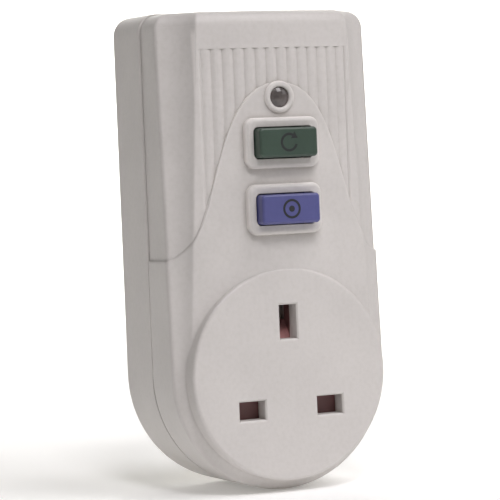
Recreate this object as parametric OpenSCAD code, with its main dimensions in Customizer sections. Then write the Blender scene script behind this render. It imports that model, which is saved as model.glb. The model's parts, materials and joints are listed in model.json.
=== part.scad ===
// Residual current adapter that plugs into a 13 A wall socket and carries one switched socket.
// The front faces -Y, the plug pins point to +Y and +Z is up. The origin lies on the back face, at the
// centre of the circle through the three pins. "Depth" is measured back from the highest line of the front.

/* [Body] */
// Width across the covers
body_w = 60.5; // [58.5:0.5:64]
// Height of the top edge above the pin centre
top_z = 94.5; // [93.5:0.5:98]
// Depth from the highest line of the front to the back face
body_d = 37.5; // [36.5:0.5:42]
// Depth of the front cover
front_d = 19; // [18.5:0.5:21]
// Wall thickness of both covers
wall = 2.2; // [1.8:0.1:2.6]
// Thickness of the rear wall
rear_wall = 2.4; // [2:0.1:3]
// Radius of the two top corners
corner_r = 5; // [4.5:0.5:7]
// Height of the centre of the rounded bottom and the socket disc
base_z = 0.4; // [0:0.1:1]
// Rounding of the back edge
back_round = 2; // [1:0.25:3]
// Open line between the two covers
seam_gap = 0.4; // [0.2:0.1:0.8]
// Length of the lip on the rear cover
lip_l = 2; // [1:0.5:3]
// Thickness of the lip
lip_t = 1.2; // [0.8:0.1:1.6]

/* [Front form] */
// Radius of the crowned front, across the width
crown_r = 106; // [95:1:140]
// Width of the side coves at the height of the pin centre
cove_low = 4; // [3.5:0.1:4.5]
// Width of the side coves at the top
cove_top = 8.7; // [7.5:0.1:9]
// Depth of the shoulder below the coves, at the height of the pin centre
shoulder_low = 6; // [5.8:0.1:7]
// Depth of the shoulder at the top
shoulder_top = 9.8; // [9:0.1:11]
// Angle that the hollow of a cove turns through
cove_turn = 42; // [30:1:55]
// Rounding of the top front edge
top_round = 3.5; // [2.5:0.25:4]
// Height of the raised shield above the ribbed zone
shield_step = 0.4; // [0.3:0.05:0.6]
// Height of the shield's crest above the lamp's centre
shield_rise = 3.9; // [3.6:0.05:5]
// Height at which the shield meets the sides
shield_low = 30.5; // [28:0.5:33]
// Half width over which the shield's crest runs level
shield_crest = 20.8; // [18:0.1:22]
// Half width to which the shield's flanks draw in
shield_waist = 15.8; // [14:0.1:18]

/* [Ribs] */
// Number of ribs
rib_count = 14; // [8:1:14]
// Distance between ribs
rib_pitch = 3; // [2.6:0.1:3]
// Radius of a rib's flanks
rib_r = 2.8; // [2.6:0.1:4]
// Width left plain along a rib's crest
rib_land = 0.6; // [0.4:0.1:1]
// Distance of the ribs' upper ends below the top edge
rib_drop = 10.1; // [7:0.1:12]

/* [Socket] */
// Radius of the raised socket disc
disc_r = 27.4; // [27:0.1:28.2]
// Height of the disc above the highest line of the front
disc_proud = 0.3; // [0.2:0.05:0.5]
// Rounding of the disc's edge
disc_round = 0.8; // [0.4:0.1:1.2]
// Thickness of the socket face behind the disc
socket_t = 4.5; // [4.2:0.1:5]
// Long side of the live and neutral apertures
slot_long = 7.3; // [7.1:0.1:7.5]
// Short side of the live and neutral apertures
slot_short = 4.9; // [4.7:0.1:5.1]
// Long side of the earth aperture
earth_slot_long = 8.9; // [8.7:0.1:9.1]
// Short side of the earth aperture
earth_slot_short = 4.9; // [4.7:0.1:5.1]
// Chamfer round the mouths of the apertures
slot_chamfer = 0.4; // [0.2:0.1:0.6]
// Thickness of the shutter
shutter_t = 3.4; // [3:0.1:3.8]
// Travel of the shutter
shutter_travel = 6; // [5.8:0.1:6.2]
// Depth of the contact block
block_d = 14.6; // [13.5:0.1:15]
// Thickness of the socket contacts' strip
contact_t = 0.8; // [0.6:0.1:1]

/* [Plug pins] */
// Distance of the live and neutral pins from the centre line
pin_x = 11.115; // [11.05:0.005:11.2]
// Height of the live and neutral pins, from the pin centre
pin_z = -8.34; // [-8.4:0.01:-8.3]
// Height of the earth pin, from the pin centre
earth_z = 13.89; // [13.85:0.01:13.95]
// Width of the live and neutral pins
pin_w = 6.35; // [6.2:0.05:6.5]
// Thickness of all three pins
pin_t = 4; // [3.9:0.05:4.1]
// Height of the earth pin's section
earth_pin_h = 8; // [7.8:0.05:8.1]
// Length of the live and neutral pins
pin_l = 17.7; // [17:0.1:18.5]
// Length of the earth pin
earth_pin_l = 22.7; // [22:0.1:23.5]
// Length of the pins' insulating sleeves
sleeve_l = 9.5; // [8:0.1:10]
// Thickness of the sleeves
sleeve_t = 0.7; // [0.5:0.05:0.9]
// Chamfer at the pins' tips
tip_chamfer = 1.2; // [0.6:0.1:1.5]
// Thickness of the flange that holds a pin
flange_t = 1.6; // [1.2:0.1:2]
// Thickness of the pin retainer
retainer_t = 2.5; // [2:0.1:3]

/* [Buttons and lamp] */
// Height of the reset button's centre
reset_z = 60; // [59.5:0.1:60.5]
// Distance between the two buttons
button_pitch = 17; // [16.5:0.1:17.5]
// Width of a button frame
bezel_w = 20.8; // [20:0.1:22]
// Height of a button frame
bezel_h = 13; // [12.5:0.1:14]
// How far a button frame stands out
bezel_proud = 1.7; // [1.2:0.1:2.2]
// Corner radius of a button frame
bezel_corner = 2.5; // [2:0.1:3]
// Rounding of a button frame's front edge
bezel_round = 1.1; // [0.6:0.1:1.5]
// Width of a button
button_w = 16.4; // [15:0.1:16.6]
// Height of a button
button_h = 7.6; // [7:0.1:8.4]
// How far a button stands out
button_proud = 4.9; // [4:0.1:5.5]
// Corner radius of a button
button_corner = 1; // [1:0.1:1.6]
// Rounding of a button's front edge
button_round = 0.7; // [0.4:0.1:0.9]
// Travel of the reset button and the contact carriage
reset_travel = 3; // [2.5:0.1:3.2]
// Travel of the test button
test_travel = 2.2; // [1.8:0.1:2.4]
// Height of the lamp's centre above the reset button's
lens_rise = 11.65; // [11.3:0.05:11.9]
// Diameter of the lens
lens_dia = 5.2; // [4.8:0.1:5.4]
// Outer diameter of the ring round the lens
ring_dia = 8.4; // [8:0.1:9]
// How far the ring stands out
ring_proud = 0.8; // [0.7:0.1:1.2]
// Rounding of the ring
ring_round = 0.8; // [0.7:0.1:0.9]

/* [Breaker] */
// Distance of the contact pairs from the centre line
contact_x = 15.5; // [15:0.1:16]
// Distance of the line and load contacts above and below the reset button's centre
contact_dz = 4.5; // [4:0.1:5]
// Diameter of the solenoid's plunger
plunger_dia = 5.4; // [5:0.1:5.6]
// Outer diameter of the solenoid's coil
coil_dia = 15; // [13:0.1:15.4]
// Outer diameter of the sensing toroid
toroid_od = 22; // [20:0.1:22.5]
// Inner diameter of the sensing toroid
toroid_id = 11; // [10.5:0.1:12]
// Height of the sensing toroid
toroid_h = 10; // [8:0.1:10.2]
// Diameter of the conductors through the toroid
wire_dia = 2.4; // [2:0.1:2.6]
// Thickness of the circuit board
board_t = 1.6; // [1.2:0.1:2]
// Distance of the circuit board from the rear wall
board_stand = 2; // [1.5:0.1:2.5]

/* [Screws] */
// Diameter of the case screws' shank
screw_dia = 2.9; // [2.6:0.1:3.2]
// Diameter of the case screws' head
screw_head = 5.4; // [5:0.1:5.8]
// Height of the case screws' head
screw_head_h = 2.2; // [1.8:0.1:2.6]
// Depth of the heads below the back face
screw_sink = 2.8; // [1:0.1:4]
// Diameter of the small inner screws' shank
small_screw = 2; // [1.8:0.1:2.2]
// Diameter of the small inner screws' head
small_head = 3.8; // [3.4:0.1:4.2]
// Height of the small inner screws' head
small_head_h = 1.4; // [1:0.1:1.6]

/* [Clearances] */
// Around pieces that are fixed
fit = 0.1; // [0.05:0.05:0.2]
// Around pieces that move
play = 0.3; // [0.25:0.05:0.4]

/* [Hidden] */
$fn = 64;
eps = 0.01;
arc_steps = 8;
over = 2;

shell_colour = [0.80, 0.78, 0.77];
brass = [0.80, 0.66, 0.35];
steel = [0.70, 0.71, 0.73];
dark_plastic = [0.16, 0.16, 0.17];
shutter_colour = [0.42, 0.27, 0.26];

// Heights up the front
test_z = reset_z - button_pitch;
lens_z = reset_z + lens_rise;
shield_top = lens_z + shield_rise;
rib_top = top_z - rib_drop;

// Planes across the depth
front_y = -body_d;
seam_y = front_y + front_d;
half_w = body_w / 2;
flat_x = half_w - corner_r;
flat_z = top_z - corner_r;
rear_in = -rear_wall;
disc_y = front_y - disc_proud;
socket_in = disc_y + socket_t;
shutter_y = socket_in + play;
block_y = shutter_y + shutter_t + play;
block_back = block_y + block_d;
base_back = block_back + contact_t;
flange_y = rear_in - flange_t;
retainer_y = flange_y - retainer_t;
conductor_y = retainer_y - play - wire_dia / 2;
pin_root_y = conductor_y - wire_dia / 2 - play;
board_back = rear_in - board_stand;
board_y = board_back - board_t;

// Shutter: windows stand above the apertures at rest and drop in line with them
window_margin = 0.3;
shutter_side = 0.5;
shutter_foot = 1.2;
shutter_head = 1.6;
shutter_half_w = pin_x + slot_long / 2 + shutter_side;
shutter_low = pin_z - slot_short / 2 - shutter_foot;
shutter_high = earth_z + earth_slot_long / 2 + shutter_head;
ramp_low = earth_z - earth_slot_long / 2;
ramp_high = earth_z + window_margin;
shutter_spring_l = 9.5;
shutter_spring_r = 1.2;
shutter_spring_wire = 0.4;
shutter_spring_turns = 6;
shutter_seat_z = shutter_low - shutter_spring_l;
seat_half_w = 4;
seat_t = 2;
rail_w = 1.2;
rail_foot = 0.5;

// Contact block and its ears
block_side = 1.3;
block_foot = 4.5;
block_head = 7;
block_half_w = shutter_half_w + block_side;
block_low = pin_z - block_foot;
block_high = earth_z + block_head;
ear_t = 4;
ear_h = 8;
ear_z = 4;
ear_edge = 3;
block_screw_x = block_half_w + ear_edge;
ear_half_w = block_screw_x + ear_edge;
post_r = 2.8;
clip_gap = pin_t + fit;
clip_h = clip_gap + 2 * contact_t;
clip_mouth = 1.2;
clip_pinch = 0.35;
clip_edge = 1;

// Pin flanges and retainer
flange_edge = 1.4;
retainer_edge = 0.5;
retainer_half_w = pin_x + pin_w / 2 + flange_edge + retainer_edge;
retainer_low = pin_z - pin_t / 2 - flange_edge - 3 * retainer_edge;
retainer_high = earth_z + earth_pin_h / 2 + flange_edge + 2 * retainer_edge;
retainer_screw = [6, 2];
screw_bite = 0.5;
screw_room = 1;

// Buttons
button_gap = 0.3;
guide_wall = 1.4;
guide_rise = 1.2;
guide_d = wall + guide_rise;
button_flange_t = 1.3;
button_flange_edge = 1.1;
button_flange_y = front_y + guide_d + fit;
stem_y = button_flange_y + button_flange_t;
reset_stem_dia = 5;
test_stem_dia = 4;

// Breaker planes
reset_stem_l = 1.2;
carriage_y = stem_y + reset_stem_l + play;
carriage_t = 3.5;
arm_t = 3;
arm_h = 5;
arm_end = 4;
arm_half_l = contact_x + arm_end;
hub_dia = 9.4;
strip_y = carriage_y + carriage_t;
strip_t = 0.8;
strip_w = 4;
tip_t = 1;
tip_dia = 3;
fixed_tip_y = strip_y + strip_t + tip_t + reset_travel + play;
fixed_post_y = fixed_tip_y + tip_t;
yoke_t = 1.6;
yoke_half_w = 10;
yoke_half_h = 7.4;
yoke_gap = 0.9;
yoke_y = fixed_post_y + yoke_gap;
spring_l = yoke_y - strip_y;
spring_wire = 0.7;
spring_turns = 4.5;
bobbin_flange = 1;
bobbin_wall = 0.9;
bobbin_y = yoke_y + yoke_t;
bobbin_back = board_y - yoke_t;
plunger_bore = plunger_dia + 2 * play;
plunger_back = bobbin_back - reset_travel - play;
post_w = 3;

// Test contact
leaf_t = 0.4;
leaf_w = 4;
leaf_leg_t = 0.6;
leaf_l = 8.6;
test_stem_l = 4.3;
test_post_h = 2;
leaf_y = stem_y + test_stem_l + play;
leaf_low = test_z - test_post_h;
leaf_high = leaf_low + leaf_l;
test_post_y = leaf_y + leaf_t + test_travel;

// Toroid, its shelf and the board above it
shelf_t = 1.5;
board_foot = 3.5;
board_head = 9.35;
board_side = 5.25;
board_low = test_z - board_foot;
board_high = lens_z + board_head;
board_half_w = half_w - board_side;
board_screw_edge = 3.2;
board_screw_z = [board_low + board_screw_edge, reset_z + 9];
board_screws_at = [for (side = [-1, 1], z = board_screw_z) [side * (board_half_w - board_screw_edge), z]];
board_post_r = 2.6;
toroid_gap = 1.8;
toroid_top = board_low - toroid_gap;
shelf_z = toroid_top - toroid_h;
toroid_y = rear_in - toroid_od / 2 - 2 * play;

// Bends of the conductors from the pins through the toroid to the line contacts
bend = 3;
upper_y = board_y - play - wire_dia / 2;
out_x = contact_x + strip_w / 2 + wire_dia + screw_bite;
line_z = reset_z + contact_dz;

// Components on the board
lamp_dia = 4;
lamp_h = 6.2;
lamp_rim = 0.4;
lamp_rim_h = 1;
lens_flange_t = 1;
lens_flange_edge = 1.1;
test_resistor_size = [2.4, 8];
varistor_size = [8, 3.4];
capacitor_size = [8, 11];
diode_size = [2, 4.2];
diode_pitch = 2.6;
thyristor_size = [4.6, 4.6, 3.6];
chip_size = [5, 1.6, 4];
chip_resistor_size = [2.8, 0.6, 1.4];
chip_resistor_pitch = 2.4;
upper_row_z = board_high - 6.5;
lower_row_z = board_low + 1.5;

// Case screws
pillar_r = 3.5;
front_pillar_r = 3.2;
low_screw_in = 4.8;
low_screw_angle = 37.5;
high_screw_in = 8;
case_screws_at = [for (side = [-1, 1]) each [
    [side * (half_w - high_screw_in), top_z - high_screw_in],
    [0, base_z] + (half_w - low_screw_in) * [side * cos(low_screw_angle), -sin(low_screw_angle)]
]];
screw_grip = 8;
drive_w = 2.6;
drive_t = 0.7;
drive_d = 1.2;

function lerp(a, b, t) = a + (b - a) * t;
function quarter(r) = [for (i = [0:arc_steps]) r * [cos(90 * i / arc_steps), sin(90 * i / arc_steps)]];
function bezier(a, b, c, d, t) =
    pow(1 - t, 3) * a + 3 * pow(1 - t, 2) * t * b + 3 * (1 - t) * t * t * c + t * t * t * d;
function crown_drop(x) = crown_r - sqrt(crown_r * crown_r - x * x);
function mirrored(points) = [for (p = points) [-p[0], p[1], p[2]]];

// Circle that hollows a cove at height z: [distance from the middle, depth, radius]
function cove_circle(z) =
    let (
        inner_x = half_w - lerp(cove_low, cove_top, z / top_z),
        inner = [inner_x, crown_drop(inner_x)],
        outer = [half_w, lerp(shoulder_low, shoulder_top, z / top_z)],
        chord = outer - inner,
        half = norm(chord) / 2,
        away = [chord[1], -chord[0]] / (2 * half),
        centre = (inner + outer) / 2 + away * half / tan(cove_turn / 2)
    )
    [centre[0], centre[1], half / sin(cove_turn / 2)];

// Outline from the middle of a slab to its edge, with the far edge rounded
module edge_profile(reach, t, e) {
    arc = e > 0 ? [for (p = quarter(e)) [reach - e + p[0], t - e + p[1]]] : [[reach, t]];
    polygon(concat([[0, 0], [reach, 0]], arc, [[0, t]]));
}

// Turn a form that rises along +Z so that it rises to the front or to the back
module to_front(y) {
    translate([0, y, 0]) rotate([90, 0, 0]) children();
}

module to_back(y) {
    translate([0, y, 0]) mirror([0, 1, 0]) rotate([90, 0, 0]) children();
}

// Extrude an outline in X and Z from y0 back to y1
module along_y(y0, y1) {
    to_back(y0) linear_extrude(y1 - y0) children();
}

module rod(x, z, y0, y1, d) {
    translate([x, 0, z]) to_back(y0) cylinder(d = d, h = y1 - y0);
}

module block(x0, x1, y0, y1, z0, z1) {
    translate([x0, y0, z0]) cube([x1 - x0, y1 - y0, z1 - z0]);
}

module both_sides() {
    children();
    mirror([1, 0, 0]) children();
}

// Slab with rounded corners and a rounded upper edge, centred, rising along +Z
module soft_slab(w, h, t, corner, edge) {
    in_x = w / 2 - corner;
    in_y = h / 2 - corner;
    translate([-in_x, -in_y, 0]) cube([2 * in_x, 2 * in_y, t]);
    for (side = [0, 180]) rotate(side) {
        translate([in_x, in_y, 0]) rotate([90, 0, 0]) linear_extrude(2 * in_y)
            edge_profile(corner, t, edge);
        translate([-in_x, in_y, 0]) rotate([90, 0, 90]) linear_extrude(2 * in_x)
            edge_profile(corner, t, edge);
        translate([in_x, in_y, 0]) rotate_extrude(angle = 90) edge_profile(corner, t, edge);
        translate([-in_x, in_y, 0]) rotate(90) rotate_extrude(angle = 90) edge_profile(corner, t, edge);
    }
}

// Slab of the body's own outline, grown all round by g, from y0 back to y1, with its back edge rounded
module body_slab(g, y0, y1, edge) {
    t = y1 - y0;
    corner = corner_r + g;
    to_back(y0) {
        translate([0, base_z, 0])
            rotate(180) rotate_extrude(angle = 180) edge_profile(half_w + g, t, edge);
        translate([-flat_x, base_z, 0]) cube([2 * flat_x, flat_z - base_z, t]);
        translate([-flat_x, flat_z, 0]) rotate([90, 0, 90]) linear_extrude(2 * flat_x)
            edge_profile(corner, t, edge);
        both_sides() {
            translate([flat_x, flat_z, 0]) rotate([90, 0, 0]) linear_extrude(flat_z - base_z)
                edge_profile(corner, t, edge);
            translate([flat_x, flat_z, 0]) rotate_extrude(angle = 90) edge_profile(corner, t, edge);
        }
    }
}

// Tapered hollow down one side, above the rounded bottom
module cove_cone(g) {
    low = cove_circle(-over);
    high = cove_circle(top_z + 2 * over);
    from = [low[0], front_y + low[1], -over];
    to = [high[0], front_y + high[1], top_z + 2 * over];
    way = to - from;
    difference() {
        translate(from)
            rotate([0, acos(way[2] / norm(way)), atan2(way[1], way[0])])
                cylinder(h = norm(way), r1 = low[2] - g, r2 = high[2] - g);
        block(-body_w, body_w, front_y - body_w, body_w, -body_w, base_z);
    }
}

// The same hollow carried round the bottom
module cove_bottom(g) {
    low = cove_circle(base_z);
    translate([0, 0, base_z]) to_front(front_y)
        rotate(180) rotate_extrude(angle = 180) translate([low[0], -low[1]]) circle(low[2] - g);
}

// Crowned front with coves, grown all round by g, ending at y_end
module front_form(g, y_end) {
    difference() {
        intersection() {
            body_slab(g, front_y - over, y_end, 0);
            translate([0, front_y + crown_r, -body_w]) cylinder(r = crown_r + g, h = body_w + top_z + over);
        }
        both_sides() cove_cone(g);
        cove_bottom(g);
    }
}

// Cutters that round the top front edge, along the crown and across the coves
module top_rounding() {
    g = -shield_step;
    z = top_z + g;
    cove = cove_circle(z - top_round);
    arc = [for (p = quarter(top_round)) [p[0] - top_round, z - top_round + p[1]]];
    ring = concat(arc, [[-top_round, z + over], [over, z + over], [over, z - top_round]]);
    translate([0, front_y + crown_r, 0]) rotate_extrude($fn = 200)
        polygon([for (p = ring) [crown_r + g + p[0], p[1]]]);
    both_sides() translate([cove[0], front_y + cove[1], 0]) rotate_extrude()
        polygon([for (p = ring) [cove[2] - g - p[0], p[1]]]);
}

// Band in front of the rounded ribs, whose crests stay level with the plain front
module rib_relief() {
    crest_r = crown_r - shield_step;
    axis_r = crest_r - sqrt(rib_r * rib_r - rib_land * rib_land / 4);
    turn = rib_pitch / crest_r * 180 / PI;
    h = rib_top - shield_low;
    translate([0, front_y + crown_r, shield_low]) difference() {
        rotate(-90 - turn * rib_count / 2) rotate_extrude(angle = turn * rib_count)
            translate([crest_r - rib_r / 2, 0]) square([rib_r / 2 + over, h]);
        for (i = [-(rib_count - 1) / 2 : (rib_count - 1) / 2])
            rotate(i * turn) translate([0, -axis_r, -over]) cylinder(r = rib_r, h = h + 2 * over);
    }
}

module shield_prism() {
    steps = 20;
    flank = [for (i = [0:steps]) bezier(
        [0, shield_top], [shield_crest, shield_top], [shield_waist, shield_low], [half_w + over, shield_low],
        i / steps)];
    foot = -half_w - over;
    left = [for (i = [steps:-1:1]) [-flank[i][0], flank[i][1]]];
    along_y(front_y - over, seam_y)
        polygon(concat(left, flank, [[half_w + over, foot], [-half_w - over, foot]]));
}

module bezel(z) {
    root = wall / 2;
    translate([0, 0, z]) to_front(front_y + root)
        soft_slab(bezel_w, bezel_h, root + bezel_proud, bezel_corner, bezel_round);
}

// Half outline of the ring round the lens, rounded over its top and solid to the middle
module ring_profile() {
    middle = [ring_dia / 2 - ring_round, wall / 2 + ring_proud - ring_round];
    steps = 2 * arc_steps;
    arc = [for (i = [0:steps]) middle + ring_round * [cos(180 * i / steps), sin(180 * i / steps)]];
    polygon(concat([[0, 0], [ring_dia / 2, 0]], arc, [[0, middle[1]]]));
}

module button_hole(z) {
    w = button_w + 2 * button_gap;
    h = button_h + 2 * button_gap;
    translate([0, 0, z]) to_front(front_y + guide_d + over)
        soft_slab(w, h, guide_d + bezel_proud + 2 * over, button_corner + button_gap, 0);
}

// Solid features left standing inside the front cover
module front_inner() {
    rod(0, base_z, front_y - over, socket_in, 2 * (disc_r - wall));
    for (z = [reset_z, test_z])
        block(-button_w / 2 - button_gap - guide_wall, button_w / 2 + button_gap + guide_wall,
            front_y, front_y + guide_d,
            z - button_h / 2 - button_gap - guide_wall, z + button_h / 2 + button_gap + guide_wall);
    for (p = case_screws_at) rod(p[0], p[1], front_y, seam_y + over, 2 * front_pillar_r);
    both_sides() {
        rod(block_screw_x, ear_z, front_y, block_y, 2 * post_r);
        block(shutter_half_w + play, shutter_half_w + play + rail_w, front_y, block_y - fit,
            shutter_low - rail_foot, earth_z);
    }
    block(-seat_half_w, seat_half_w, front_y, shutter_y + shutter_t, shutter_seat_z - seat_t, shutter_seat_z);
}

// Opening of w by h through the socket face, with a chamfered mouth
module aperture(x, z, w, h) {
    translate([x, 0, z]) {
        block(-w / 2, w / 2, disc_y - over, socket_in + eps, -h / 2, h / 2);
        intersection() {
            translate([0, 0, -h]) linear_extrude(2 * h) mouth_outline(w);
            translate([-w, 0, 0]) rotate([90, 0, 90]) linear_extrude(2 * w) rotate(-90) mirror([1, 0])
                mouth_outline(h);
        }
    }
}

module mouth_outline(w) {
    c = slot_chamfer;
    wide = w / 2 + c + over;
    narrow = w / 2 - c;
    front = disc_y - over;
    back = disc_y + 2 * c;
    polygon([[-wide, front], [wide, front], [narrow, back], [-narrow, back]]);
}

module socket_apertures() {
    both_sides() aperture(pin_x, pin_z, slot_long, slot_short);
    aperture(0, earth_z, earth_slot_short, earth_slot_long);
}

module front_cover() {
    seam_front = seam_y - seam_gap / 2;
    color(shell_colour) difference() {
        union() {
            difference() {
                front_form(-shield_step, seam_front);
                top_rounding();
                rib_relief();
            }
            intersection() {
                front_form(0, seam_front);
                shield_prism();
            }
            translate([0, 0, base_z]) to_front(front_y + shoulder_low)
                rotate_extrude() edge_profile(disc_r, shoulder_low + disc_proud, disc_round);
            bezel(reset_z);
            bezel(test_z);
            translate([0, 0, lens_z]) to_front(front_y + wall / 2) rotate_extrude() ring_profile();
        }
        difference() {
            front_form(-wall, seam_y + over);
            front_inner();
        }
        socket_apertures();
        button_hole(reset_z);
        button_hole(test_z);
        rod(0, lens_z, front_y - over - ring_proud, front_y + 2 * wall, lens_dia + 2 * fit);
        for (p = case_screws_at)
            rod(p[0], p[1], seam_front - screw_grip - screw_room, seam_y + over, screw_dia + 2 * fit);
        both_sides() rod(block_screw_x, ear_z, socket_in - screw_room, block_y + over, small_screw + 2 * fit);
    }
}

module rear_cover() {
    seam_rear = seam_y + seam_gap / 2;
    lip = -wall - fit;
    color(shell_colour) difference() {
        union() {
            difference() {
                body_slab(0, seam_rear, 0, back_round);
                body_slab(-wall, seam_rear - over, rear_in, 0);
            }
            difference() {
                body_slab(lip, seam_y - lip_l, seam_rear + lip_l, 0);
                body_slab(lip - lip_t, seam_y - lip_l - over, seam_rear + lip_l + over, 0);
                for (p = case_screws_at)
                    rod(p[0], p[1], seam_y - lip_l - over, seam_rear, 2 * (pillar_r + play));
            }
            intersection() {
                body_slab(-wall / 2, seam_y - lip_l, rear_in + eps, 0);
                for (p = case_screws_at) rod(p[0], p[1], seam_y - seam_gap / 2, rear_in + eps, 2 * pillar_r);
            }
            for (p = board_screws_at) rod(p[0], p[1], board_back, rear_in + eps, 2 * board_post_r);
            both_sides() rod(retainer_screw[0], retainer_screw[1], flange_y, rear_in + eps, 2 * board_post_r);
            difference() {
                block(-toroid_od / 2, toroid_od / 2, toroid_y - toroid_od / 2, rear_in + eps,
                    shelf_z - shelf_t, shelf_z);
                conductor_slot();
            }
        }
        both_sides() translate([pin_x, 0, pin_z]) pin_hole(pin_w, pin_t, rear_in - over, over);
        translate([0, 0, earth_z]) pin_hole(pin_t, earth_pin_h, rear_in - over, over);
        for (p = case_screws_at) {
            rod(p[0], p[1], seam_y - over, over, screw_dia + 4 * fit);
            rod(p[0], p[1], -screw_sink - screw_head_h, over, screw_head + 4 * fit);
        }
        for (p = board_screws_at)
            rod(p[0], p[1], board_back - over, rear_in + screw_room, small_screw + 2 * fit);
        both_sides() rod(retainer_screw[0], retainer_screw[1], flange_y - over, rear_in + screw_room,
            small_screw + 2 * fit);
    }
}

// Opening in the toroid's shelf for the two conductors
module conductor_slot() {
    block(-toroid_id / 2, toroid_id / 2, toroid_y - wire_dia, toroid_y + wire_dia,
        shelf_z - shelf_t - over, shelf_z + over);
}

// Hole for a pin of w by h, with a clearance all round
module pin_hole(w, h, y0, y1) {
    block(-w / 2 - fit, w / 2 + fit, y0, y1, -h / 2 - fit, h / 2 + fit);
}

// Screw from the front: its head seats at seat_y and its shank runs on back by l
module small_screw_at(x, z, seat_y, l) {
    rod(x, z, seat_y - small_head_h, seat_y, small_head);
    rod(x, z, seat_y - eps, seat_y + l, small_screw);
}

module case_screws() {
    head_y = -screw_sink - screw_head_h;
    drive_y = head_y + screw_head_h - drive_d;
    color(steel) for (p = case_screws_at) difference() {
        union() {
            rod(p[0], p[1], head_y, head_y + screw_head_h, screw_head);
            rod(p[0], p[1], seam_y - seam_gap / 2 - screw_grip, head_y + eps, screw_dia);
        }
        translate([p[0], 0, p[1]]) for (a = [0, 90]) rotate([0, a, 0])
            block(-drive_w / 2, drive_w / 2, drive_y, drive_y + drive_d + over, -drive_t / 2, drive_t / 2);
    }
}

// Bar along +Y with a chamfered tip, w across X and h across Z
module tipped_bar(w, h, y0, y1) {
    intersection() {
        translate([0, 0, -h / 2]) linear_extrude(h) tipped_outline(w, y0, y1);
        translate([-w / 2, 0, 0]) rotate([90, 0, 90]) linear_extrude(w) rotate(-90) mirror([1, 0])
            tipped_outline(h, y0, y1);
    }
}

module tipped_outline(w, y0, y1) {
    c = tip_chamfer;
    polygon([[-w / 2, y0], [w / 2, y0], [w / 2, y1 - c], [w / 2 - c, y1], [c - w / 2, y1], [-w / 2, y1 - c]]);
}

module pin_flange(w, h) {
    block(-w / 2 - flange_edge, w / 2 + flange_edge, flange_y, rear_in,
        -h / 2 - flange_edge, h / 2 + flange_edge);
}

module line_pin(side) {
    color(brass) translate([side * pin_x, 0, pin_z]) {
        pin_flange(pin_w, pin_t);
        difference() {
            tipped_bar(pin_w, pin_t, pin_root_y, pin_l);
            sleeve_form();
        }
    }
}

module sleeve_form() {
    difference() {
        block(-pin_w / 2, pin_w / 2, -fit, sleeve_l, -pin_t / 2, pin_t / 2);
        block(sleeve_t - pin_w / 2, pin_w / 2 - sleeve_t, -over, sleeve_l + over,
            sleeve_t - pin_t / 2, pin_t / 2 - sleeve_t);
    }
}

module live_pin() {
    line_pin(1);
}

module neutral_pin() {
    line_pin(-1);
}

module earth_pin() {
    color(brass) translate([0, 0, earth_z]) {
        pin_flange(pin_t, earth_pin_h);
        tipped_bar(pin_t, earth_pin_h, base_back, earth_pin_l);
    }
}

module live_pin_sleeve() {
    color(dark_plastic) translate([pin_x, 0, pin_z]) sleeve_form();
}

module neutral_pin_sleeve() {
    color(dark_plastic) translate([-pin_x, 0, pin_z]) sleeve_form();
}

module pin_retainer() {
    color([0.85, 0.84, 0.80]) difference() {
        block(-retainer_half_w, retainer_half_w, retainer_y, flange_y, retainer_low, retainer_high);
        both_sides() {
            translate([pin_x, 0, pin_z]) pin_hole(pin_w, pin_t, retainer_y - over, flange_y + over);
            rod(retainer_screw[0], retainer_screw[1], retainer_y - over, flange_y + over,
                small_screw + 2 * fit);
        }
        translate([0, 0, earth_z]) pin_hole(pin_t, earth_pin_h, retainer_y - over, flange_y + over);
    }
}

module retainer_screws() {
    color(steel) both_sides()
        small_screw_at(retainer_screw[0], retainer_screw[1], retainer_y, retainer_t + flange_t + screw_bite);
}

module socket_shutter() {
    window_h = slot_short + 2 * window_margin;
    window_z = pin_z - slot_short / 2 - window_margin + shutter_travel;
    y1 = shutter_y + shutter_t;
    color(shutter_colour) difference() {
        block(-shutter_half_w, shutter_half_w, shutter_y, y1, shutter_low, shutter_high);
        both_sides() block(pin_x - slot_long / 2 - window_margin, shutter_half_w + over,
            shutter_y - over, y1 + over, window_z, window_z + window_h);
        // Earth window, whose lower edge is the ramp that the earth pin pushes down
        translate([-earth_slot_short / 2 - window_margin, 0, 0]) rotate([90, 0, 90])
            linear_extrude(earth_slot_short + 2 * window_margin)
                polygon([[shutter_y - eps, ramp_low], [y1 + eps, ramp_high], [y1 + eps, shutter_high + over],
                    [shutter_y - eps, shutter_high + over]]);
    }
}

// Round wire swept along a list of points; "side" is never along the route
function sweep_ring(path, i, r, sides, side) =
    let (
        last = len(path) - 1,
        ahead = path[min(i + 1, last)] - path[max(i - 1, 0)],
        t = ahead / norm(ahead),
        u0 = cross(side, t),
        u = u0 / norm(u0),
        v = cross(t, u)
    )
    [for (k = [0:sides - 1]) path[i] + r * (cos(360 * k / sides) * u + sin(360 * k / sides) * v)];

module swept_wire(path, d, sides, side) {
    n = len(path);
    points = [for (i = [0:n - 1]) each sweep_ring(path, i, d / 2, sides, side)];
    walls = [for (i = [0:n - 2], k = [0:sides - 1])
        let (a = i * sides + k, b = i * sides + (k + 1) % sides)
            each [[a, a + sides, b + sides], [a, b + sides, b]]];
    start = [for (k = [1:sides - 2]) [0, k, k + 1]];
    end = [for (k = [1:sides - 2]) [0, k + 1, k] + (n - 1) * sides * [1, 1, 1]];
    polyhedron(points, concat(walls, start, end));
}

// Compression spring along +Z from 0 to l
module coil_spring(r, wire, turns, l) {
    rings = 10;
    rise = l - wire - 2 * fit;
    path = [for (i = [0:turns * rings]) [
        r * cos(360 * i / rings), r * sin(360 * i / rings), wire / 2 + fit + rise * i / (turns * rings)]];
    swept_wire(path, wire, 6, [0, 0, 1]);
}

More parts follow.
